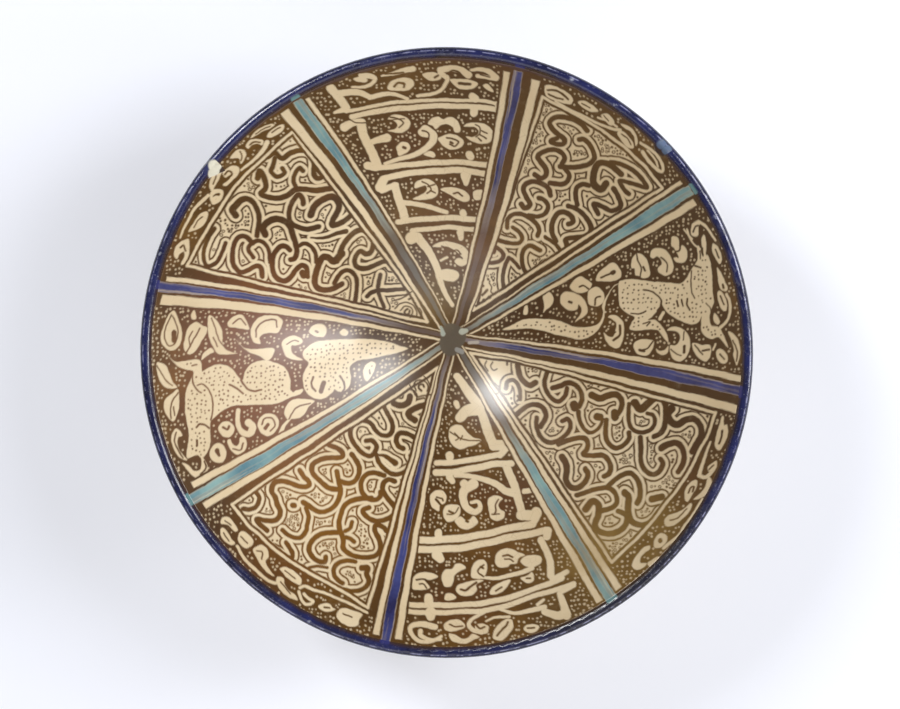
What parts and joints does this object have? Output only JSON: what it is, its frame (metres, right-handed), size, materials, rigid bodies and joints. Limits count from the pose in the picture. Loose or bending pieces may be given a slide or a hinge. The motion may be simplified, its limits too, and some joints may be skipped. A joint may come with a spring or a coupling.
{
  "type": "footed bowl",
  "caption": "Footed ceramic bowl with flaring sides, radial coloured stripes and a blue glazed lip, for serving or display.",
  "frame": {"origin": "centre of the flat face that the foot ring stands on", "axes": "+Z up along the bowl's axis out of its mouth; +X to the right and +Y up in the picture, which looks down into the bowl"},
  "size_m": [0.2144, 0.2144, 0.0856],
  "materials": {
    "stonepaste": "bare fired stonepaste, matt and slightly gritty",
    "white_glaze": "opaque cream-white glaze, glossy, painted with brown-gold lustre inside and out",
    "blue_glaze": "deep cobalt-blue glaze, glossy",
    "turquoise_glaze": "turquoise glaze, glossy",
    "lustre_paint": "brown lustre film with a golden sheen",
    "plaster": "matt off-white plaster"
  },
  "bodies": {
    "root": {"stonepaste_wall": "stonepaste", "foot_ring": "stonepaste", "inside_glaze": "white_glaze", "outside_glaze": "white_glaze", "lip_band": "blue_glaze", "turquoise_stripes": "turquoise_glaze", "cobalt_stripes": "blue_glaze", "left_plaster_fill": "plaster", "right_plaster_fill": "plaster"}
  },
  "joints": []
}
